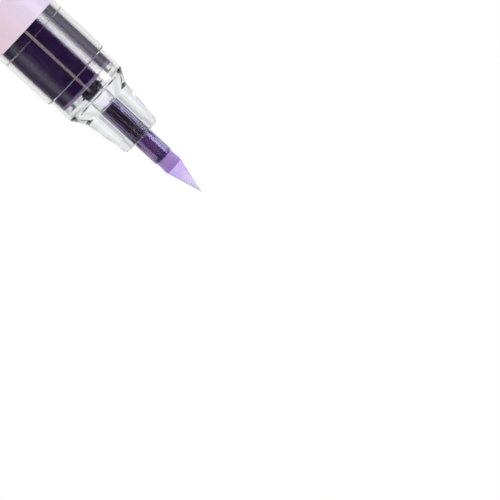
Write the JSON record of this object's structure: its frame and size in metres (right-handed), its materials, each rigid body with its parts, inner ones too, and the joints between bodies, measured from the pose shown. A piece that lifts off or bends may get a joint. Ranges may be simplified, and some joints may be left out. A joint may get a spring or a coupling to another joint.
{
  "type": "paint marker",
  "caption": "Clear-barrelled paint marker with a brush nib, a spring valve in the front of its paint tank, loose mixing balls, and its cap posted on the tail.",
  "frame": {"origin": "centre of the cap's flat closed end, on which the marker stands with its cap posted", "axes": "+Z along the marker's axis, towards the brush point; X and Y are alike"},
  "size_m": [0.0152, 0.0152, 0.153],
  "materials": {
    "clear_plastic": "clear moulded plastic, polished",
    "printed_film": "printed film, satin, soft lavender to pink gradient",
    "frosted_plastic": "natural translucent plastic",
    "paint_filled_tank": "clear tank wetted inside by dark purple paint",
    "seal_rubber": "smooth black rubber",
    "bright_steel": "polished spring and ball steel",
    "ink_coloured_plastic": "moulded plastic in the paint's colour",
    "dark_plastic": "dark smooth plastic wetted by paint",
    "white_porous_plastic": "white sintered plastic",
    "tinted_clear_plastic": "clear tube wetted by purple paint",
    "inked_fibre": "paint-soaked bonded fibre rod",
    "brush_fibre": "fine bonded brush fibres, paint-soaked",
    "liner_plastic": "soft white plastic"
  },
  "bodies": {
    "barrel": {"barrel_shell": "clear_plastic", "label_sleeve": "printed_film", "front_section": "clear_plastic", "nib_guide_ring": "frosted_plastic", "paint_tank": "paint_filled_tank", "tank_front_plug": "frosted_plastic", "stem_seal_ring": "seal_rubber", "spring_cage": "frosted_plastic", "valve_spring": "bright_steel", "tank_rear_plug": "frosted_plastic", "tail_plug": "ink_coloured_plastic"},
    "nib": {"valve_stem": "dark_plastic", "valve_washer": "seal_rubber", "flow_plug": "white_porous_plastic", "nib_holder": "tinted_clear_plastic", "nib_core": "inked_fibre", "brush_tip": "brush_fibre"},
    "ball_1": {"mixing_ball_1": "bright_steel"},
    "ball_2": {"mixing_ball_2": "bright_steel"},
    "cap": {"cap_shell": "ink_coloured_plastic", "cap_liner": "liner_plastic"}
  },
  "joints": [
    {"name": "nib_press", "type": "slide", "parent": "barrel", "child": "nib", "axis": [0, 0, -1], "range_m": [0, 0.0015], "stiffness_N_per_m": 400, "springref_m": -0.002, "deforming": ["valve_spring"]},
    {"name": "ball_1_roll", "type": "slide", "parent": "barrel", "child": "ball_1", "axis": [0, 0, 1], "range_m": [0, 0.068]},
    {"name": "ball_2_roll", "type": "slide", "parent": "barrel", "child": "ball_2", "axis": [0, 0, 1], "range_m": [0, 0.068]},
    {"name": "cap_pull", "type": "slide", "parent": "barrel", "child": "cap", "axis": [0, 0, -1], "range_m": [0, 0.012]}
  ]
}
